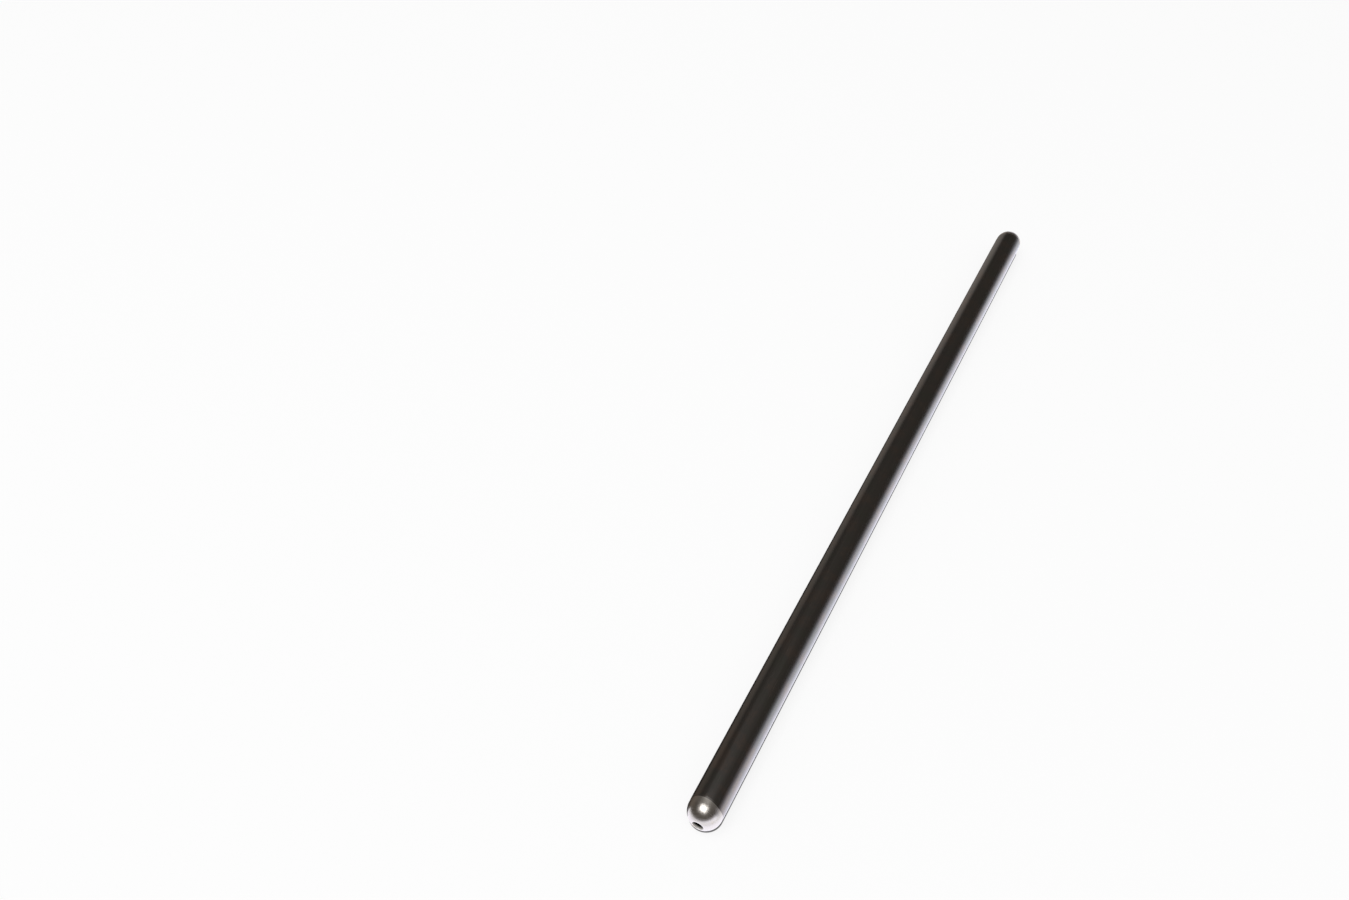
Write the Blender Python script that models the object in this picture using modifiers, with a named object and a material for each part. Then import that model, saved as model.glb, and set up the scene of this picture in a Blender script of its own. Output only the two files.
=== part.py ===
"""One engine pushrod: a thick-walled steel tube whose two ends are formed into balls.

The rod is a single piece of blackened tube. Each end is closed in round a drilled oil
hole and ground to a bright ball as wide as the tube, with a small flat ring where the
hole breaks through, and an oil passage runs from one tip to the other. The rod lies
along +X, and the ball that sits in the tappet's cup is centred on the origin.
"""

import math

import bpy

INCH = 0.0254

# Tube
ROD_LENGTH = 9.13 * INCH
TUBE_DIAMETER = 0.3125 * INCH
TUBE_WALL = 0.080 * INCH

# Ground ball at each end
GRIND_DEPTH = 0.00003
GROUND_BAND = 0.0008
OIL_HOLE_DIAMETER = 0.0025
HOLE_CHAMFER = 0.0001
TIP_RING_WIDTH = 0.0003

# Oil passage inside each formed end
NOSE_LENGTH = 0.005
THROAT_LENGTH = 0.008

# Facets
ROUND_STEPS = 48
BALL_STEPS = 14
THROAT_STEPS = 8
SHARP_ANGLE = math.radians(20)

# Worked out from the sizes above
TUBE_RADIUS = TUBE_DIAMETER / 2
BORE_RADIUS = TUBE_RADIUS - TUBE_WALL
BALL_RADIUS = TUBE_RADIUS - GRIND_DEPTH
HOLE_RADIUS = OIL_HOLE_DIAMETER / 2
MOUTH_RADIUS = HOLE_RADIUS + HOLE_CHAMFER
TIP_RADIUS = MOUTH_RADIUS + TIP_RING_WIDTH
TIP_REACH = math.sqrt(BALL_RADIUS**2 - TIP_RADIUS**2)
BALL_SPACING = ROD_LENGTH - 2 * TIP_REACH


def ball_side():
    """Outer side of one end as (radius, reach), from the hole's mouth back to the tube.

    Reach is counted from the ball's centre towards the tip.
    """
    first = math.asin(TIP_RADIUS / BALL_RADIUS)
    points = [(MOUTH_RADIUS, TIP_REACH)]
    for step in range(BALL_STEPS + 1):
        angle = first + (math.pi / 2 - first) * step / BALL_STEPS
        points.append((BALL_RADIUS * math.sin(angle), BALL_RADIUS * math.cos(angle)))
    points.append((BALL_RADIUS, -GROUND_BAND))
    points.append((TUBE_RADIUS, -GROUND_BAND - GRIND_DEPTH))
    return points


def passage_side():
    """Wall of one end's oil passage as (radius, reach), from the mouth in to the bore."""
    points = [(HOLE_RADIUS, TIP_REACH - HOLE_CHAMFER)]
    for step in range(THROAT_STEPS + 1):
        share = step / THROAT_STEPS
        widening = (1 - math.cos(math.pi * share)) / 2
        radius = HOLE_RADIUS + (BORE_RADIUS - HOLE_RADIUS) * widening
        points.append((radius, TIP_REACH - NOSE_LENGTH - THROAT_LENGTH * share))
    return points


def rod_section():
    """Closed half section as (radius, height): down the outer side, up the passage."""
    outer_top = [(radius, BALL_SPACING + reach) for radius, reach in ball_side()]
    outer_bottom = [(radius, -reach) for radius, reach in reversed(ball_side())]
    passage_bottom = [(radius, -reach) for radius, reach in passage_side()]
    passage_top = [(radius, BALL_SPACING + reach) for radius, reach in reversed(passage_side())]
    return outer_top + outer_bottom + passage_bottom + passage_top


def principled(name, color, roughness, metallic):
    """A Principled material with one colour."""
    material = bpy.data.materials.new(name)
    material.use_nodes = True
    shader = material.node_tree.nodes["Principled BSDF"]
    shader.inputs["Base Color"].default_value = (*color, 1.0)
    shader.inputs["Roughness"].default_value = roughness
    shader.inputs["Metallic"].default_value = metallic
    return material


def turned(name, section, collection):
    """The solid that a closed half section sweeps round Z, as an object of its own."""
    outline = bpy.data.meshes.new(f"{name}_section")
    corners = [(radius, 0.0, height) for radius, height in section]
    edges = [(index, (index + 1) % len(section)) for index in range(len(section))]
    outline.from_pydata(corners, edges, [])
    piece = bpy.data.objects.new(name, outline)
    collection.objects.link(piece)

    turn = piece.modifiers.new("Turn", "SCREW")
    turn.axis = "Z"
    turn.steps = ROUND_STEPS
    turn.render_steps = ROUND_STEPS
    turn.use_merge_vertices = True
    turn.merge_threshold = 1e-6

    graph = bpy.context.evaluated_depsgraph_get()
    solid = bpy.data.meshes.new_from_object(piece.evaluated_get(graph))
    solid.name = name
    piece.modifiers.clear()
    piece.data = solid
    bpy.data.meshes.remove(outline)
    solid.shade_smooth()
    solid.set_sharp_from_angle(angle=SHARP_ANGLE)
    return piece


def finish_surfaces(rod):
    """Leaves the tube and its passage black, and makes the two ground balls bright."""
    rod.data.materials.append(principled("blackened_steel", (0.035, 0.032, 0.03), 0.32, 1.0))
    rod.data.materials.append(principled("ground_steel", (0.58, 0.56, 0.53), 0.14, 1.0))
    for face in rod.data.polygons:
        on_ball = not GROUND_BAND < face.center.z < BALL_SPACING - GROUND_BAND
        faces_axis = face.normal.xy.dot(face.center.xy) < 0
        if on_ball and not faces_axis:
            face.material_index = 1


def build():
    """Clears the scene and makes the pushrod, laid along +X."""
    for old in list(bpy.data.objects):
        bpy.data.objects.remove(old, do_unlink=True)
    parts = bpy.data.collections.new("engine_pushrod")
    bpy.context.scene.collection.children.link(parts)

    rod = turned("pushrod", rod_section(), parts)
    finish_surfaces(rod)
    rod.rotation_euler = (0.0, math.pi / 2, 0.0)


if __name__ == "__main__":
    build()
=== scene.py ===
"""Looks of one engine pushrod: a blackened steel tube with a ground ball at each end.

The rod lies on a pale floor along +X, with the ball that sits in the tappet's cup centred
on the origin. Its length, its tube's width and how far each ball's tip reaches come from
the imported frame. One closed surface of revolution stands for the CAD solid, with finer
steps round the balls and a ragged edge where the grinding stopped.
"""

import logging
import math
from dataclasses import dataclass, field
from enum import Enum
from typing import Any

import bpy
import numpy as np
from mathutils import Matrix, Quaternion, Vector


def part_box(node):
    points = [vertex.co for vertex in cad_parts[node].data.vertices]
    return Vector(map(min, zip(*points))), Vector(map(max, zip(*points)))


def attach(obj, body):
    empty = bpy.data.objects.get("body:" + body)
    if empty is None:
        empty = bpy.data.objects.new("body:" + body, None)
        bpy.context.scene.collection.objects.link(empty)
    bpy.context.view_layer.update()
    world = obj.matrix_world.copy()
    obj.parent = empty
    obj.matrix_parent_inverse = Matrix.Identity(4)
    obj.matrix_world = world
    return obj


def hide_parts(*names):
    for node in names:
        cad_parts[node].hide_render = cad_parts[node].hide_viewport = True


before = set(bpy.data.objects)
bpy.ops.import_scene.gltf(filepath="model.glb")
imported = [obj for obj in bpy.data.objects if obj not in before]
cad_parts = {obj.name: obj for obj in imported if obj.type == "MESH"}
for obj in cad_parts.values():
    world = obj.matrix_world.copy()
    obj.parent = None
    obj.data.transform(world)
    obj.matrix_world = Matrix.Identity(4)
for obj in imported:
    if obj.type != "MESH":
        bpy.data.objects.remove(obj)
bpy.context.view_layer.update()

NODE = "pushrod"
MM = 0.001
SMOOTH = {"interpolation_type": "SMOOTHSTEP"}
COLOURS = {"data_type": "RGBA"}

log = logging.getLogger("pushrod_scene")


class Finish(Enum):
    """The three finishes of the rod, in the order of its material slots."""

    BLACKENED = 0
    GROUND = 1
    DRILLED = 2


def linear(code: str) -> tuple[float, float, float, float]:
    """Turns an sRGB hex colour to the linear colour that a shader takes.

    Args:
        code: The colour as "#rrggbb".

    Returns:
        Red, green, blue and an alpha of 1.
    """
    shares = [int(code[start : start + 2], 16) / 255 for start in (1, 3, 5)]
    red, green, blue = [s / 12.92 if s <= 0.04045 else ((s + 0.055) / 1.055) ** 2.4 for s in shares]
    return (red, green, blue, 1.0)


def add(
    tree: bpy.types.NodeTree,
    kind: str,
    settings: dict[str, Any] | None = None,
    inputs: dict[int | str, Any] | None = None,
) -> bpy.types.Node:
    """Adds one node with its settings and links.

    Args:
        tree: The node tree that gets the node.
        kind: The node's type without its ShaderNode prefix.
        settings: Values of the node's own properties.
        inputs: A value or the socket to link for each input, by name or place.

    Returns:
        The new node.
    """
    node = tree.nodes.new(f"ShaderNode{kind}")
    for name, value in (settings or {}).items():
        setattr(node, name, value)
    for name, value in (inputs or {}).items():
        if isinstance(value, bpy.types.NodeSocket):
            tree.links.new(value, node.inputs[name])
        else:
            node.inputs[name].default_value = value
    return node


def new_material(name: str) -> tuple[bpy.types.Material, bpy.types.NodeTree]:
    """Makes an empty node material.

    Args:
        name: The material's name.

    Returns:
        The material and its cleared node tree.
    """
    material = bpy.data.materials.new(name)
    material.use_nodes = True
    material.node_tree.nodes.clear()
    return material, material.node_tree


def grid_quads(rows: int, columns: int, closed: bool) -> np.ndarray:
    """Joins a grid of points in quads; the columns always run round and meet.

    Args:
        rows: How many rows of points there are.
        columns: How many points there are in each row.
        closed: Whether the last row is joined to the first as well.

    Returns:
        Four point numbers for each face, row after row.
    """
    first_rows = np.arange(rows if closed else rows - 1)
    row, column = np.meshgrid(first_rows, np.arange(columns), indexing="ij")
    next_row, next_column = (row + 1) % rows, (column + 1) % columns
    corners = [(row, column), (row, next_column), (next_row, next_column), (next_row, column)]
    return np.stack([r * columns + c for r, c in corners], axis=-1).reshape(-1, 4)


def show_in_reflections_only(piece: bpy.types.Object) -> None:
    """Hides an object from all but glossy rays, so that it casts no light or shade on the floor.

    Args:
        piece: The object to hide.
    """
    piece.visible_camera = False
    piece.visible_diffuse = False
    piece.visible_shadow = False
    piece.visible_transmission = False


@dataclass(frozen=True)
class BlackenedSteel:
    """Cold-drawn steel tube, blackened in a hot oxide bath and wiped with oil.

    The bath leaves a brown-black skin that is cloudy over a few millimetres, lets the fine
    draw marks of the die through, and rubs back to bare steel at scratches. The oil lies
    over it as a clear film.
    """

    skin_dark: str = "#737170"
    skin_warm: str = "#837770"
    skin_green: str = "#70736d"
    bare: str = "#a39c92"
    cloud_size: float = 5.0 * MM
    warm_range: tuple[float, float] = (0.46, 0.66)
    green_range: tuple[float, float] = (0.50, 0.32)
    # Real draw marks, grain and scratches are a few hundredths of a millimetre wide. These are
    # as coarse as they have to be to show in the render.
    draw_mark_width: float = 0.25 * MM
    draw_mark_length: float = 30.0 * MM
    draw_mark_range: tuple[float, float] = (0.3, 0.7)
    draw_mark_depth: float = 0.03 * MM
    grain_size: float = 0.30 * MM
    grain_depth: float = 0.05 * MM
    scratch_width: float = 0.12 * MM
    scratch_length: float = 5.0 * MM
    scratch_turn: tuple[float, float, float] = (0.0, 0.35, 0.5)
    scratch_range: tuple[float, float] = (0.72, 0.80)
    roughness_low: float = 0.28
    roughness_high: float = 0.38
    oil_roughness: float = 0.18
    oil_ior: float = 2.3

    def make(self) -> bpy.types.Material:
        """Makes the finish's material, with its patterns on Object coordinates.

        Returns:
            The new material.
        """
        material, tree = new_material("blackened_drawn_steel")
        place = add(tree, "TexCoord").outputs["Object"]

        # The skin's clouds: brown where the noise is high, green where it is low.
        cloud = add(
            tree,
            "TexNoise",
            {},
            {"Vector": place, "Scale": 1 / self.cloud_size, "Detail": 4.0, "Roughness": 0.6},
        )
        warm_share = add(
            tree,
            "MapRange",
            SMOOTH,
            {
                "Value": cloud.outputs["Fac"],
                "From Min": self.warm_range[0],
                "From Max": self.warm_range[1],
            },
        )
        green_share = add(
            tree,
            "MapRange",
            SMOOTH,
            {
                "Value": cloud.outputs["Fac"],
                "From Min": self.green_range[0],
                "From Max": self.green_range[1],
            },
        )
        warmed = add(
            tree,
            "Mix",
            COLOURS,
            {0: warm_share.outputs[0], 6: linear(self.skin_dark), 7: linear(self.skin_warm)},
        )
        skin = add(
            tree,
            "Mix",
            COLOURS,
            {0: green_share.outputs[0], 6: warmed.outputs[2], 7: linear(self.skin_green)},
        )

        # The die's marks run along the tube. The grain has no direction.
        along = add(
            tree,
            "Mapping",
            {"vector_type": "POINT"},
            {
                "Vector": place,
                "Scale": (
                    1 / self.draw_mark_length,
                    1 / self.draw_mark_width,
                    1 / self.draw_mark_width,
                ),
            },
        )
        marks = add(
            tree,
            "TexNoise",
            {},
            {"Vector": along.outputs[0], "Scale": 1.0, "Detail": 3.0, "Roughness": 0.55},
        )
        grain = add(
            tree,
            "TexNoise",
            {},
            {"Vector": place, "Scale": 1 / self.grain_size, "Detail": 2.0, "Roughness": 0.5},
        )

        # Scratches are the few highest streaks of a noise that lies askew.
        askew = add(
            tree,
            "Mapping",
            {"vector_type": "POINT"},
            {
                "Vector": place,
                "Rotation": self.scratch_turn,
                "Scale": (1 / self.scratch_length, 1 / self.scratch_width, 1 / self.scratch_length),
            },
        )
        scratches = add(
            tree,
            "TexNoise",
            {},
            {"Vector": askew.outputs[0], "Scale": 1.0, "Detail": 1.0, "Roughness": 0.4},
        )
        scratched = add(
            tree,
            "MapRange",
            SMOOTH,
            {
                "Value": scratches.outputs["Fac"],
                "From Min": self.scratch_range[0],
                "From Max": self.scratch_range[1],
            },
        )
        colour = add(
            tree,
            "Mix",
            COLOURS,
            {0: scratched.outputs[0], 6: skin.outputs[2], 7: linear(self.bare)},
        )

        roughness = add(
            tree,
            "MapRange",
            {},
            {
                "Value": marks.outputs["Fac"],
                "From Min": self.draw_mark_range[0],
                "From Max": self.draw_mark_range[1],
                "To Min": self.roughness_low,
                "To Max": self.roughness_high,
            },
        )
        grained = add(
            tree,
            "Bump",
            {},
            {"Height": grain.outputs["Fac"], "Strength": 0.05, "Distance": self.grain_depth},
        )
        marked = add(
            tree,
            "Bump",
            {},
            {
                "Height": marks.outputs["Fac"],
                "Strength": 0.10,
                "Distance": self.draw_mark_depth,
                "Normal": grained.outputs[0],
            },
        )
        shader = add(
            tree,
            "BsdfPrincipled",
            {},
            {
                "Base Color": colour.outputs[2],
                "Metallic": 1.0,
                "Roughness": roughness.outputs[0],
                "Normal": marked.outputs[0],
                "Coat Weight": 1.0,
                "Coat Roughness": self.oil_roughness,
                "Coat IOR": self.oil_ior,
            },
        )
        add(tree, "OutputMaterial", {}, {"Surface": shader.outputs[0]})
        return material


@dataclass(frozen=True)
class GroundSteel:
    """Bare carbon steel, formed and then ground round and round to a bright ball.

    Fine rings from the wheel stay in the surface, and handling leaves faint clouds of
    straw-coloured oxide on it. Behind the ball's widest place the wheel runs out, and the
    ground band is rougher there, so it spreads the lamp's light.
    """

    bright: str = "#ddd8d2"
    straw: str = "#d0c2ae"
    cloud_size: float = 3.0 * MM
    straw_range: tuple[float, float] = (0.52, 0.76)
    # The wheel's real rings are finer. These are as coarse as they have to be to show.
    ring_pitch: float = 0.10 * MM
    ring_depth: float = 0.03 * MM
    ring_range: tuple[float, float] = (0.3, 0.7)
    round_scale: float = 60.0
    roughness_low: float = 0.26
    roughness_high: float = 0.34
    run_out: float = 0.10
    run_out_start: float = 0.9 * MM
    run_out_end: float = -0.2 * MM

    def make(self, middle: float, ball_offset: float) -> bpy.types.Material:
        """Makes the finish's material, with its patterns on Object coordinates.

        Args:
            middle: Where the middle of the rod lies along X.
            ball_offset: From the middle of the rod to the centre of either ball.

        Returns:
            The new material.
        """
        material, tree = new_material("ground_ball_steel")
        place = add(tree, "TexCoord").outputs["Object"]

        # The clouds of straw-coloured oxide.
        cloud = add(
            tree,
            "TexNoise",
            {},
            {"Vector": place, "Scale": 1 / self.cloud_size, "Detail": 3.0, "Roughness": 0.55},
        )
        tint = add(
            tree,
            "MapRange",
            SMOOTH,
            {
                "Value": cloud.outputs["Fac"],
                "From Min": self.straw_range[0],
                "From Max": self.straw_range[1],
            },
        )
        colour = add(
            tree,
            "Mix",
            COLOURS,
            {0: tint.outputs[0], 6: linear(self.bright), 7: linear(self.straw)},
        )

        # The wheel's rings: a noise that changes fast along the rod and slowly round it.
        round_axis = add(
            tree,
            "Mapping",
            {"vector_type": "POINT"},
            {"Vector": place, "Scale": (1 / self.ring_pitch, self.round_scale, self.round_scale)},
        )
        rings = add(
            tree,
            "TexNoise",
            {},
            {"Vector": round_axis.outputs[0], "Scale": 1.0, "Detail": 3.0, "Roughness": 0.6},
        )
        roughness = add(
            tree,
            "MapRange",
            {},
            {
                "Value": rings.outputs["Fac"],
                "From Min": self.ring_range[0],
                "From Max": self.ring_range[1],
                "To Min": self.roughness_low,
                "To Max": self.roughness_high,
            },
        )

        # The rougher band where the wheel runs out, at the same place behind either ball.
        split = add(tree, "SeparateXYZ", {}, {0: place})
        shifted = add(tree, "Math", {"operation": "SUBTRACT"}, {0: split.outputs[0], 1: middle})
        from_middle = add(tree, "Math", {"operation": "ABSOLUTE"}, {0: shifted.outputs[0]})
        coarser = add(
            tree,
            "MapRange",
            SMOOTH,
            {
                "Value": from_middle.outputs[0],
                "From Min": ball_offset + self.run_out_start,
                "From Max": ball_offset + self.run_out_end,
                "To Max": self.run_out,
            },
        )
        ground = add(
            tree,
            "Math",
            {"operation": "ADD"},
            {0: roughness.outputs[0], 1: coarser.outputs[0]},
        )
        ringed = add(
            tree,
            "Bump",
            {},
            {"Height": rings.outputs["Fac"], "Strength": 0.3, "Distance": self.ring_depth},
        )
        shader = add(
            tree,
            "BsdfPrincipled",
            {},
            {
                "Base Color": colour.outputs[2],
                "Metallic": 1.0,
                "Roughness": ground.outputs[0],
                "Normal": ringed.outputs[0],
            },
        )
        add(tree, "OutputMaterial", {}, {"Surface": shader.outputs[0]})
        return material


@dataclass(frozen=True)
class DrilledSteel:
    """The oil passage: drilled steel at the mouth, painted darker further in as the shade deep in
    the hole.

    The drill leaves faint marks round the wall, and the wall is dull, so the hole reads as a
    dark disc with a pale rim.
    """

    mouth: str = "#e4e0da"
    # Painted shade: the dark colour deep in the passage.
    deep: str = "#161412"
    fade_start: float = 0.20 * MM
    fade_end: float = 0.65 * MM
    mark_pitch: float = 0.12 * MM
    mark_depth: float = 0.03 * MM
    mark_range: tuple[float, float] = (0.3, 0.7)
    round_scale: float = 200.0
    roughness_low: float = 0.6
    roughness_high: float = 0.75

    def make(self, middle: float, half_length: float) -> bpy.types.Material:
        """Makes the finish's material, with its patterns on Object coordinates.

        Args:
            middle: Where the middle of the rod lies along X.
            half_length: From the middle of the rod to either tip.

        Returns:
            The new material.
        """
        material, tree = new_material("drilled_passage_steel")
        place = add(tree, "TexCoord").outputs["Object"]

        # Painted shade: the colour goes dark with the depth below the nearer tip.
        split = add(tree, "SeparateXYZ", {}, {0: place})
        shifted = add(tree, "Math", {"operation": "SUBTRACT"}, {0: split.outputs[0], 1: middle})
        from_middle = add(tree, "Math", {"operation": "ABSOLUTE"}, {0: shifted.outputs[0]})
        depth = add(
            tree,
            "MapRange",
            SMOOTH,
            {
                "Value": from_middle.outputs[0],
                "From Min": half_length - self.fade_start,
                "From Max": half_length - self.fade_end,
            },
        )
        colour = add(
            tree,
            "Mix",
            COLOURS,
            {0: depth.outputs[0], 6: linear(self.mouth), 7: linear(self.deep)},
        )

        # The drill's marks: a noise that changes fast along the passage and slowly round it.
        turned = add(
            tree,
            "Mapping",
            {"vector_type": "POINT"},
            {"Vector": place, "Scale": (1 / self.mark_pitch, self.round_scale, self.round_scale)},
        )
        marks = add(
            tree,
            "TexNoise",
            {},
            {"Vector": turned.outputs[0], "Scale": 1.0, "Detail": 2.0, "Roughness": 0.5},
        )
        roughness = add(
            tree,
            "MapRange",
            {},
            {
                "Value": marks.outputs["Fac"],
                "From Min": self.mark_range[0],
                "From Max": self.mark_range[1],
                "To Min": self.roughness_low,
                "To Max": self.roughness_high,
            },
        )
        bump = add(
            tree,
            "Bump",
            {},
            {"Height": marks.outputs["Fac"], "Strength": 0.3, "Distance": self.mark_depth},
        )
        shader = add(
            tree,
            "BsdfPrincipled",
            {},
            {
                "Base Color": colour.outputs[2],
                "Metallic": 0.25,
                "Roughness": roughness.outputs[0],
                "Normal": bump.outputs[0],
            },
        )
        add(tree, "OutputMaterial", {}, {"Surface": shader.outputs[0]})
        return material


@dataclass
class Pushrod:
    """The rod as one closed surface of revolution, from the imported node's box.

    Args:
        low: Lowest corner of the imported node.
        high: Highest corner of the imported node.
    """

    low: Vector
    high: Vector
    grind_depth: float = 0.03 * MM
    ground_band: float = 0.60 * MM
    wander_once: float = 0.22 * MM
    wander_twice: float = 0.20 * MM
    wander_thrice: float = 0.07 * MM
    shoulder_length: float = 0.35 * MM
    hole_radius: float = 1.25 * MM
    hole_chamfer: float = 0.10 * MM
    ring_edge: float = 0.05 * MM
    nose_length: float = 5.0 * MM
    throat_length: float = 8.0 * MM
    tube_wall: float = 2.032 * MM
    tube_start: float = 3.5 * MM
    band_shares: tuple[float, ...] = (0.02, 0.08, 0.15, 0.22)
    near_phase: float = math.radians(80)
    far_phase: float = math.radians(200)
    sharp_angle: float = math.radians(30)
    round_steps: int = 160
    throat_steps: int = 13
    nose_steps: int = 8
    mouth_steps: int = 6
    edge_steps: int = 4
    ball_steps: int = 44
    shoulder_steps: int = 6
    tube_steps: int = 24
    bore_steps: int = 10
    name: str = "pushrod_steel"
    piece: bpy.types.Object = field(init=False)

    @property
    def tube_radius(self) -> float:
        """Outer radius of the tube."""
        return self.high.z

    @property
    def ball_radius(self) -> float:
        """Radius of each ball, ground just under the tube's."""
        return self.tube_radius - self.grind_depth

    @property
    def tip_reach(self) -> float:
        """From a ball's centre to its flat tip."""
        return -self.low.x

    @property
    def spacing(self) -> float:
        """From one ball's centre to the other's."""
        return self.high.x - self.low.x - 2 * self.tip_reach

    def end_profile(self) -> tuple[np.ndarray, np.ndarray, np.ndarray]:
        """Works out one end's half section, from deep in the passage out to the tube.

        The passage narrows from the bore to the hole by half a cosine wave. The mouth is a
        quarter round. The tip ring's edge is a quadratic curve that bends towards the sharp
        corner it replaces. The ball is a circular arc about its centre, and the shoulder up
        to the tube is half a cosine wave.

        Returns:
            Radius, reach from the ball's centre towards the tip, and the share of the
            ground edge's wander that each point takes.
        """
        bore_radius = self.tube_radius - self.tube_wall
        share = np.linspace(1.0, 0.0, self.throat_steps)
        widening = (1 - np.cos(np.pi * share)) / 2
        throat_radius = self.hole_radius + (bore_radius - self.hole_radius) * widening
        throat_reach = self.tip_reach - self.nose_length - self.throat_length * share

        nose_ends = self.tip_reach - self.nose_length, self.tip_reach - self.hole_chamfer
        nose_reach = np.linspace(*nose_ends, self.nose_steps + 2)[1:-1]
        nose_radius = np.full_like(nose_reach, self.hole_radius)

        turn = np.linspace(0, np.pi / 2, self.mouth_steps)
        mouth_radius = self.hole_radius + self.hole_chamfer * (1 - np.cos(turn))
        mouth_reach = self.tip_reach - self.hole_chamfer * (1 - np.sin(turn))

        tip_radius = math.sqrt(self.ball_radius**2 - self.tip_reach**2)
        first = math.asin((tip_radius + self.ring_edge) / self.ball_radius)
        edge = np.linspace(0, 1, self.edge_steps + 1)[:-1]
        leave, bend, arrive = (1 - edge) ** 2, 2 * edge * (1 - edge), edge**2
        ring_radius = tip_radius - self.ring_edge
        ball_start = self.ball_radius * math.sin(first)
        edge_radius = leave * ring_radius + bend * tip_radius + arrive * ball_start
        edge_reach = (leave + bend) * self.tip_reach + arrive * self.ball_radius * math.cos(first)

        arc = np.linspace(first, np.pi / 2, self.ball_steps)
        ball_radius = self.ball_radius * np.sin(arc)
        ball_reach = self.ball_radius * np.cos(arc)

        band_reach = -np.array(self.band_shares) * self.ground_band
        band_radius = np.full_like(band_reach, self.ball_radius)

        rise = np.linspace(0, 1, self.shoulder_steps)
        shoulder_radius = self.ball_radius + self.grind_depth * (1 - np.cos(np.pi * rise)) / 2
        shoulder_reach = -self.ground_band - self.shoulder_length * rise

        inside_radius = np.concatenate([throat_radius, nose_radius, mouth_radius])
        inside_reach = np.concatenate([throat_reach, nose_reach, mouth_reach])
        outside_radius = np.concatenate([edge_radius, ball_radius, band_radius, shoulder_radius])
        outside_reach = np.concatenate([edge_reach, ball_reach, band_reach, shoulder_reach])
        radius = np.concatenate([inside_radius, outside_radius])
        reach = np.concatenate([inside_reach, outside_reach])
        wander = np.zeros_like(radius)
        wander[-self.shoulder_steps :] = 1.0
        return radius, reach, wander

    def section(self) -> tuple[np.ndarray, np.ndarray, np.ndarray, np.ndarray]:
        """Joins both ends' half sections into one closed loop.

        Returns:
            X and radius of each point, how far the ground edge's wander moves it along X
            at the tappet's end, and the same at the rocker's end.
        """
        radius, reach, wander = self.end_profile()
        tube_x = np.linspace(self.tube_start, self.spacing - self.tube_start, self.tube_steps)
        tube = np.full_like(tube_x, self.tube_radius)
        bore_radius = self.tube_radius - self.tube_wall
        throat_end = self.nose_length + self.throat_length - self.tip_reach
        bore_x = np.linspace(self.spacing - throat_end, throat_end, self.bore_steps + 2)[1:-1]
        bore = np.full_like(bore_x, bore_radius)
        x = np.concatenate([-reach, tube_x, self.spacing + reach[::-1], bore_x])
        radii = np.concatenate([radius, tube, radius[::-1], bore])
        still = np.zeros_like(tube_x)
        flat = np.zeros_like(bore_x)
        near = np.concatenate([wander, still, 0 * wander, flat])
        far = np.concatenate([0 * wander, still, -wander[::-1], flat])
        return x, radii, near, far

    def wander(self, angle: np.ndarray, phase: float) -> np.ndarray:
        """The ground edge's raggedness: waves that go once, twice and thrice round the tube.

        Args:
            angle: Angles round the tube, from +Y towards +Z.
            phase: The angle at which all three waves are highest.

        Returns:
            How far the edge moves along the rod at each angle.
        """
        turned = angle - phase
        once, twice, thrice = np.cos(turned), np.cos(2 * turned), np.cos(3 * turned)
        return self.wander_once * once + self.wander_twice * twice + self.wander_thrice * thrice

    def build(self) -> None:
        """Makes the surface: each point of the section swept round X, joined in quads."""
        x, radius, near, far = self.section()
        angle = np.linspace(0, 2 * np.pi, self.round_steps, endpoint=False)
        near_wander = self.wander(angle, self.near_phase)
        far_wander = self.wander(angle, self.far_phase)
        along = x[:, None] + near[:, None] * near_wander + far[:, None] * far_wander
        aside, up = radius[:, None] * np.cos(angle), radius[:, None] * np.sin(angle)
        points = np.stack([along, aside, up], axis=-1)

        rows, columns = along.shape
        mesh = bpy.data.meshes.new(self.name)
        mesh.from_pydata(points.reshape(-1, 3), [], grid_quads(rows, columns, True))
        mesh.polygons.foreach_set("material_index", np.repeat(self.row_finishes(), columns))
        mesh.shade_smooth()
        mesh.set_sharp_from_angle(angle=self.sharp_angle)
        mesh.update()
        self.piece = bpy.data.objects.new(self.name, mesh)
        bpy.context.scene.collection.objects.link(self.piece)

    def row_finishes(self) -> np.ndarray:
        """Works out the finish of the faces between each row of points and the next.

        The drilled finish ends halfway round the mouth. The blackened one starts at the
        shoulder's foot at the tappet's end, and one row nearer the ball at the rocker's end.

        Returns:
            One slot number for each row.
        """
        _, reach, _ = self.end_profile()
        step = np.arange(len(reach))
        passage = self.throat_steps + self.nose_steps + self.mouth_steps // 2
        near_black = reach <= -self.ground_band
        near_end = np.where(near_black, Finish.BLACKENED.value, Finish.GROUND.value)
        far_end = near_end[::-1].copy()
        near_end[step < passage] = Finish.DRILLED.value
        far_end[step[::-1] <= passage] = Finish.DRILLED.value
        tube = np.full(self.tube_steps, Finish.BLACKENED.value)
        bore = np.full(self.bore_steps, Finish.DRILLED.value)
        return np.concatenate([near_end, tube, far_end, bore])

    def dress(self) -> None:
        """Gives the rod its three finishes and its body."""
        middle = (self.low.x + self.high.x) / 2
        half_length = (self.high.x - self.low.x) / 2
        self.piece.data.materials.append(BlackenedSteel().make())
        self.piece.data.materials.append(GroundSteel().make(middle, self.spacing / 2))
        self.piece.data.materials.append(DrilledSteel().make(middle, half_length))
        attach(self.piece, "root")
        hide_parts(NODE)


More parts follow.
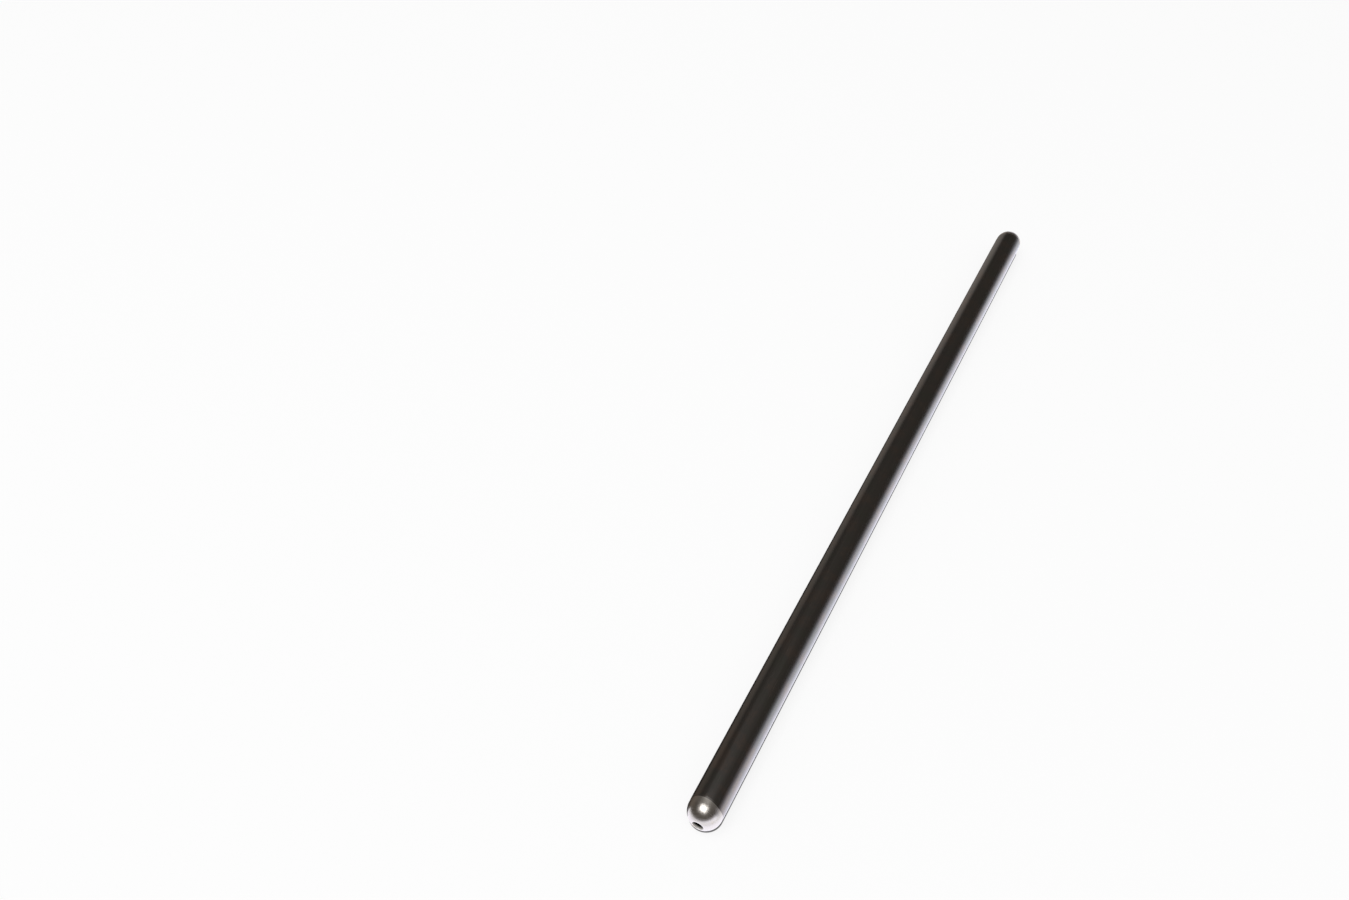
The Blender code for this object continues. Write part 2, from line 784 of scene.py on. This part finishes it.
@dataclass
class Studio:
    """Pale floor and room, a softbox overhead, glowing sheets that only reflections show as painted
    reflections, and a painted contact shadow.

    Args:
        floor_height: Z of the floor that the rod lies on.
        rod_reach: X at which the rod stops touching the floor; it starts at zero.
    """

    floor_height: float
    rod_reach: float
    floor_colour: str = "#767676"
    floor_half_width: float = 3.0
    floor_glow: float = 0.82
    # The painted contact shadow: a strip along the rod where the floor's glow, and the board's,
    # drop to a dim level.
    painted_shadow_start: float = 0.90 * MM
    painted_shadow_shift: float = 0.30 * MM
    painted_shadow_inner: float = 3.72 * MM
    painted_shadow_outer: float = 3.90 * MM
    painted_shadow_glow: float = 0.05
    # A glowing board that only reflections show: a painted reflection of bright floor, brighter
    # near the rod.
    painted_reflection_level: float = 1.3
    painted_reflection_tint: tuple[float, float, float, float] = (0.97, 0.97, 1.09, 1.0)
    painted_reflection_inner: float = 9.0 * MM
    painted_reflection_outer: float = 16.0 * MM
    painted_reflection_lift: float = 0.05 * MM
    # The fence glows: a painted reflection, white at its foot and fading to the canopy's dark.
    fence_gap: float = 28.0 * MM
    fence_height: float = 20.0 * MM
    fence_fade: float = 18.0 * MM
    fence_rounding: float = 0.25
    fence_end: tuple[float, float] = (5.0 * MM, -5.0 * MM)
    fence_end_white: float = 5.5 * MM
    fence_end_slope: float = -0.2
    fence_end_edge: float = 2.5 * MM
    fence_end_painted_glow: float = 1.25
    fence_steps: int = 96
    sky_level: float = 0.50
    backdrop_level: float = 0.92
    # The canopy's dim glow, its halo and its lean are a painted reflection of the room.
    canopy_radius: float = 2.0
    canopy_tint: tuple[float, float, float] = (1.0, 0.86, 0.72)
    canopy_level: float = 0.057
    canopy_painted_lean: tuple[float, float, float] = (-0.02, -0.004, 0.0)
    canopy_opening: float = 0.02
    canopy_steps: tuple[int, int] = (24, 64)
    halo_level: float = 0.02
    halo_direction: tuple[float, float, float] = (0.45, -0.05, 0.89)
    halo_edge: float = math.cos(math.radians(65))
    # The flag glows: a painted dark reflection on the rod's +Y side, paler on its standing part.
    flag_near: tuple[float, float, float] = (-2.5 * MM, 4.6 * MM, 12.5 * MM)
    flag_far: tuple[float, float, float] = (260.0 * MM, 3.7 * MM, 7.0 * MM)
    flag_heights: tuple[float, float] = (14.0 * MM, 15.0 * MM)
    flag_lift: float = 0.1 * MM
    flag_painted_dark: str = "#2c2927"
    flag_painted_glows: tuple[str, str] = ("#635b53", "#8a837d")
    flag_fold: tuple[float, float] = (0.2 * MM, 3.0 * MM)
    flag_fade: tuple[float, float] = (8.0 * MM, 15.0 * MM)
    softbox_direction: tuple[float, float, float] = (-0.230, 0.120, 0.966)
    softbox_distance: float = 1.5
    softbox_size: tuple[float, float] = (1.19, 0.99)
    softbox_turn: float = math.radians(20)
    softbox_power: float = 10.4

    def stage_piece(self, name: str, points: np.ndarray, quads: np.ndarray) -> bpy.types.Object:
        """Makes one object that isn't part of the rod.

        Args:
            name: The object's name.
            points: Its corners, one row each.
            quads: The corners of each face.

        Returns:
            The new object.
        """
        mesh = bpy.data.meshes.new(name)
        mesh.from_pydata(points, [], quads)
        piece = bpy.data.objects.new(name, mesh)
        bpy.context.scene.collection.objects.link(piece)
        return piece

    def distance_from_rod(self, tree: bpy.types.NodeTree) -> bpy.types.NodeSocket:
        """Adds nodes for the distance, seen from above, to the middle line of the painted contact
        shadow.

        The line runs along X, a little to one side of the rod's axis, from painted_shadow_start to
        the far ball's centre. Past its ends the distance is to the nearer end.

        Args:
            tree: The node tree that gets the nodes.

        Returns:
            The socket with the distance in metres.
        """
        split = add(tree, "SeparateXYZ", {}, {0: add(tree, "TexCoord").outputs["Object"]})
        x, y = split.outputs[0], split.outputs[1]
        before = add(tree, "Math", {"operation": "SUBTRACT"}, {0: self.painted_shadow_start, 1: x})
        beyond = add(tree, "Math", {"operation": "SUBTRACT"}, {0: x, 1: self.rod_reach})
        ends = {0: before.outputs[0], 1: beyond.outputs[0]}
        past_end = add(tree, "Math", {"operation": "MAXIMUM"}, ends)
        outside = add(tree, "Math", {"operation": "MAXIMUM"}, {0: past_end.outputs[0], 1: 0.0})
        shifted = add(tree, "Math", {"operation": "SUBTRACT"}, {0: y, 1: self.painted_shadow_shift})
        aside = add(tree, "CombineXYZ", {}, {0: outside.outputs[0], 1: shifted.outputs[0]})
        distance = add(tree, "VectorMath", {"operation": "LENGTH"}, {0: aside.outputs[0]})
        return distance.outputs["Value"]

    def lay_floor(self) -> None:
        """Lays one flat sheet of matt white board.

        What shows of its white comes partly from a glow, which stops short of the strip that the
        rod lies on, so that strip is a painted contact shadow.
        """
        reach = self.floor_half_width
        corners = np.array([(-1, -1), (1, -1), (1, 1), (-1, 1)]) * reach
        points = np.column_stack([corners, np.full(4, self.floor_height)])
        floor = self.stage_piece("studio_floor", points, np.array([(0, 1, 2, 3)]))

        material, tree = new_material("matt_white_board_painted_shadow")
        ray = add(tree, "LightPath")
        shown = add(
            tree,
            "Math",
            {"operation": "MAXIMUM"},
            {0: ray.outputs["Is Camera Ray"], 1: ray.outputs["Is Glossy Ray"]},
        )
        any_shown = add(
            tree,
            "Math",
            {"operation": "MAXIMUM"},
            {0: shown.outputs[0], 1: ray.outputs["Is Transmission Ray"]},
        )
        # Painted contact shadow: the glow drops to a dim level near the rod's contact line.
        clear = add(
            tree,
            "MapRange",
            SMOOTH,
            {
                "Value": self.distance_from_rod(tree),
                "From Min": self.painted_shadow_inner,
                "From Max": self.painted_shadow_outer,
                "To Min": self.painted_shadow_glow,
                "To Max": self.floor_glow,
            },
        )
        glow = add(
            tree,
            "Math",
            {"operation": "MULTIPLY"},
            {0: any_shown.outputs[0], 1: clear.outputs[0]},
        )
        shader = add(
            tree,
            "BsdfPrincipled",
            {},
            {
                "Base Color": linear(self.floor_colour),
                "Roughness": 0.9,
                "Specular IOR Level": 0.0,
                "Emission Color": (1.0, 1.0, 1.0, 1.0),
                "Emission Strength": glow.outputs[0],
            },
        )
        add(tree, "OutputMaterial", {}, {"Surface": shader.outputs[0]})
        floor.data.materials.append(material)

    def light_room(self) -> None:
        """Fills the world with plain pale light, paler still where the camera sees it."""
        world = bpy.data.worlds.new("studio_room")
        bpy.context.scene.world = world
        world.use_nodes = True
        tree = world.node_tree
        tree.nodes.clear()
        level = add(
            tree,
            "MapRange",
            {},
            {
                "Value": add(tree, "LightPath").outputs["Is Camera Ray"],
                "To Min": self.sky_level,
                "To Max": self.backdrop_level,
            },
        )
        sky = add(
            tree,
            "Background",
            {},
            {"Color": (1.0, 1.0, 1.0, 1.0), "Strength": level.outputs[0]},
        )
        add(tree, "OutputWorld", {}, {"Surface": sky.outputs[0]})

    def hang_canopy(self) -> None:
        """Hangs a dark canopy over the rod, which polished steel shows as its dark middle.

        The canopy is a dome on the floor, from polar angle and turn: x is the sine of the one times
        the cosine of the other. Only reflections show it. Its glow is a painted reflection of a dim
        room, with a paler halo away from the camera and a little lighter towards -X.
        """
        rings, spokes = self.canopy_steps
        polar = np.linspace(self.canopy_opening, np.pi / 2, rings)
        turn = np.linspace(0, 2 * np.pi, spokes, endpoint=False)
        across = self.canopy_radius * np.sin(polar)[:, None]
        height = np.repeat(self.canopy_radius * np.cos(polar)[:, None], spokes, axis=1)
        points = np.stack([across * np.cos(turn), across * np.sin(turn), height], axis=-1)
        canopy = self.stage_piece(
            "dark_canopy", points.reshape(-1, 3), grid_quads(rings, spokes, False)
        )

        material, tree = new_material("painted_room_glow")
        place = add(tree, "TexCoord").outputs["Object"]
        toward = add(tree, "VectorMath", {"operation": "NORMALIZE"}, {0: place}).outputs[0]
        # Painted glow: the canopy is a little lighter in one direction and paler in a halo.
        lean = add(
            tree,
            "VectorMath",
            {"operation": "DOT_PRODUCT"},
            {0: toward, 1: self.canopy_painted_lean},
        )
        halo_share = add(
            tree,
            "VectorMath",
            {"operation": "DOT_PRODUCT"},
            {0: toward, 1: Vector(self.halo_direction).normalized()},
        )
        halo = add(
            tree,
            "MapRange",
            SMOOTH,
            {
                "Value": halo_share.outputs["Value"],
                "From Min": self.halo_edge,
                "To Min": self.canopy_level,
                "To Max": self.canopy_level + self.halo_level,
            },
        )
        level = add(
            tree,
            "Math",
            {"operation": "ADD"},
            {0: halo.outputs[0], 1: lean.outputs["Value"]},
        )
        cloth = add(
            tree,
            "VectorMath",
            {"operation": "SCALE"},
            {0: self.canopy_tint, "Scale": level.outputs[0]},
        )
        shader = add(tree, "Emission", {}, {"Color": cloth.outputs[0]})
        add(tree, "OutputMaterial", {}, {"Surface": shader.outputs[0]})
        canopy.data.materials.append(material)
        show_in_reflections_only(canopy)

    def hang_softbox(self) -> None:
        """Hangs one large soft lamp nearly straight above the near end."""
        lamp = bpy.data.lights.new("softbox", "AREA")
        lamp.shape = "RECTANGLE"
        lamp.size, lamp.size_y = self.softbox_size
        lamp.energy = self.softbox_power
        box = bpy.data.objects.new("softbox", lamp)
        toward = Vector(self.softbox_direction).normalized()
        box.location = toward * self.softbox_distance
        spin = Quaternion((0, 0, 1), self.softbox_turn)
        box.rotation_mode = "QUATERNION"
        box.rotation_quaternion = (-toward).to_track_quat("-Z", "Y") @ spin
        bpy.context.scene.collection.objects.link(box)

    def raise_fence(self) -> None:
        """Raises a low glowing fence round the rod, which hides the far floor from reflections.

        Seen from above it is a rounded rectangle: half of each side times the cosine or the sine of
        the turn, raised to a small power. Its glow is a painted reflection: its white fades with
        the square of the height left, from the floor's at its foot to the canopy's dark. Round the
        tappet's end the white glows brighter and stops at an edge instead, which slopes down
        towards +Y.
        """
        turn = np.linspace(0, 2 * np.pi, self.fence_steps, endpoint=False)
        across, aside = np.cos(turn), np.sin(turn)
        half = self.rod_reach / 2
        x = half + (half + self.fence_gap) * np.sign(across) * np.abs(across) ** self.fence_rounding
        y = self.fence_gap * np.sign(aside) * np.abs(aside) ** self.fence_rounding
        low = np.stack([x, y, np.full_like(x, self.floor_height)], axis=-1)
        points = np.concatenate([low, low + (0.0, 0.0, self.fence_height)])
        fence = self.stage_piece("glowing_fence", points, grid_quads(2, self.fence_steps, False))

        material, tree = new_material("painted_horizon_glow")
        split = add(tree, "SeparateXYZ", {}, {0: add(tree, "TexCoord").outputs["Object"]})
        height = split.outputs[2]
        # Painted reflection: white glow at the foot fading to the canopy's dim glow, brighter round
        # the tappet's end.
        dark = tuple(self.canopy_level * share for share in self.canopy_tint) + (1.0,)
        down = add(
            tree,
            "MapRange",
            {},
            {
                "Value": height,
                "From Min": self.floor_height + self.fence_fade,
                "From Max": self.floor_height,
            },
        )
        painted_fade = add(tree, "Math", {"operation": "POWER"}, {0: down.outputs[0], 1: 2.0})
        tilt = add(
            tree,
            "Math",
            {"operation": "MULTIPLY"},
            {0: split.outputs[1], 1: self.fence_end_slope},
        )
        under = add(tree, "Math", {"operation": "SUBTRACT"}, {0: tilt.outputs[0], 1: height})
        end_edge = -self.floor_height - self.fence_end_white
        crisp = add(
            tree,
            "MapRange",
            SMOOTH,
            {
                "Value": under.outputs[0],
                "From Min": end_edge - self.fence_end_edge,
                "From Max": end_edge + self.fence_end_edge,
            },
        )
        at_end = add(
            tree,
            "MapRange",
            SMOOTH,
            {
                "Value": split.outputs[0],
                "From Min": self.fence_end[0],
                "From Max": self.fence_end[1],
            },
        )
        white = add(
            tree,
            "Mix",
            {"data_type": "FLOAT"},
            {0: at_end.outputs[0], 2: painted_fade.outputs[0], 3: crisp.outputs[0]},
        )
        colour = add(
            tree,
            "Mix",
            COLOURS,
            {0: white.outputs[0], 6: dark, 7: self.painted_reflection_tint},
        )
        level = add(
            tree,
            "MapRange",
            {},
            {"Value": at_end.outputs[0], "To Min": 1.0, "To Max": self.fence_end_painted_glow},
        )
        shader = add(
            tree,
            "Emission",
            {},
            {"Color": colour.outputs[2], "Strength": level.outputs[0]},
        )
        add(tree, "OutputMaterial", {}, {"Surface": shader.outputs[0]})
        fence.data.materials.append(material)
        show_in_reflections_only(fence)

    def lay_painted_reflection(self) -> None:
        """Lays a glowing board beside the rod that only reflections show: a painted reflection of
        bright floor on the rod's lower edges.
        """
        reach = self.painted_reflection_outer
        corners = [(-reach, -reach), (self.rod_reach + reach, -reach)]
        corners += [(self.rod_reach + reach, reach), (-reach, reach)]
        height = self.floor_height + self.painted_reflection_lift
        points = np.array([(x, y, height) for x, y in corners])
        board = self.stage_piece("painted_reflection_board", points, np.array([(0, 1, 2, 3)]))

        material, tree = new_material("painted_white_reflection")
        distance = self.distance_from_rod(tree)
        fade = add(
            tree,
            "MapRange",
            SMOOTH,
            {
                "Value": distance,
                "From Min": self.painted_reflection_inner,
                "From Max": self.painted_reflection_outer,
                "To Min": self.painted_reflection_level,
                "To Max": 1.0,
            },
        )
        # The painted contact shadow is cut out of the painted reflection as well.
        contact = add(
            tree,
            "MapRange",
            SMOOTH,
            {
                "Value": distance,
                "From Min": self.painted_shadow_inner,
                "From Max": self.painted_shadow_outer,
                "To Min": self.painted_shadow_glow,
            },
        )
        level = add(
            tree,
            "Math",
            {"operation": "MULTIPLY"},
            {0: fade.outputs[0], 1: contact.outputs[0]},
        )
        shader = add(
            tree,
            "Emission",
            {},
            {"Color": self.painted_reflection_tint, "Strength": level.outputs[0]},
        )
        add(tree, "OutputMaterial", {}, {"Surface": shader.outputs[0]})
        board.data.materials.append(material)
        show_in_reflections_only(board)

    def stand_painted_dark_flag(self) -> None:
        """Lays a dark glowing strip along the rod's +Y side and stands its outer edge up.

        It paints a dark reflection on that side of the rod in place of the board's white. The
        standing part's painted glow pales above the fold, more so towards the far end, and goes
        dark again towards its top.
        """
        low = self.floor_height + self.flag_lift
        points = [
            corner
            for (x, inner, outer), height in zip((self.flag_near, self.flag_far), self.flag_heights)
            for corner in ((x, inner, low), (x, outer, low), (x, outer, self.floor_height + height))
        ]
        quads = np.array([(0, 1, 4, 3), (1, 2, 5, 4)])
        flag = self.stage_piece("painted_dark_flag", np.array(points), quads)

        material, tree = new_material("painted_dark_reflection")
        # Painted reflection: dark where it lies, a paler glow where it stands.
        split = add(tree, "SeparateXYZ", {}, {0: add(tree, "TexCoord").outputs["Object"]})
        along = add(tree, "MapRange", {}, {"Value": split.outputs[0], "From Max": self.rod_reach})
        near, far = (linear(code) for code in self.flag_painted_glows)
        painted_glow = add(tree, "Mix", COLOURS, {0: along.outputs[0], 6: near, 7: far})
        up = add(
            tree,
            "MapRange",
            SMOOTH,
            {
                "Value": split.outputs[2],
                "From Min": self.floor_height + self.flag_fold[0],
                "From Max": self.floor_height + self.flag_fold[1],
            },
        )
        top = add(
            tree,
            "MapRange",
            SMOOTH,
            {
                "Value": split.outputs[2],
                "From Min": self.floor_height + self.flag_fade[1],
                "From Max": self.floor_height + self.flag_fade[0],
            },
        )
        lit = add(tree, "Math", {"operation": "MULTIPLY"}, {0: up.outputs[0], 1: top.outputs[0]})
        colour = add(
            tree,
            "Mix",
            COLOURS,
            {0: lit.outputs[0], 6: linear(self.flag_painted_dark), 7: painted_glow.outputs[2]},
        )
        shader = add(tree, "Emission", {}, {"Color": colour.outputs[2]})
        add(tree, "OutputMaterial", {}, {"Surface": shader.outputs[0]})
        flag.data.materials.append(material)
        show_in_reflections_only(flag)

    def build(self) -> None:
        """Sets up the floor, the room, the lamp and what only reflections show."""
        self.lay_floor()
        self.light_room()
        self.hang_softbox()
        self.hang_canopy()
        self.raise_fence()
        self.lay_painted_reflection()
        self.stand_painted_dark_flag()
        bpy.context.scene.view_settings.view_transform = "Standard"


@dataclass(frozen=True)
class Viewpoint:
    """Where the camera stands, above and beyond the tappet's end of the rod."""

    place: tuple[float, float, float] = (-0.08833, -0.04407, 0.21391)
    target: tuple[float, float, float] = (0.08912, 0.05484, 0.0)
    roll: float = math.radians(-1.508)
    lens: float = 28.415
    sensor_width: float = 36.0
    clip_start: float = 0.01

    def build(self) -> None:
        """Makes the scene's camera."""
        data = bpy.data.cameras.new("viewpoint")
        data.lens = self.lens
        data.sensor_width = self.sensor_width
        data.clip_start = self.clip_start
        camera = bpy.data.objects.new("viewpoint", data)
        toward = Vector(self.target) - Vector(self.place)
        camera.location = self.place
        camera.rotation_mode = "QUATERNION"
        spin = Quaternion((0, 0, 1), self.roll)
        camera.rotation_quaternion = toward.to_track_quat("-Z", "Y") @ spin
        bpy.context.scene.collection.objects.link(camera)
        bpy.context.scene.camera = camera


def main() -> None:
    logging.basicConfig(level=logging.INFO, format="%(message)s")
    low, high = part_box(NODE)
    Viewpoint().build()
    rod = Pushrod(low, high)
    Studio(floor_height=low.z, rod_reach=rod.spacing).build()
    rod.build()
    rod.dress()
    log.info("%s: %d faces", rod.piece.name, len(rod.piece.data.polygons))


if __name__ == "__main__":
    main()
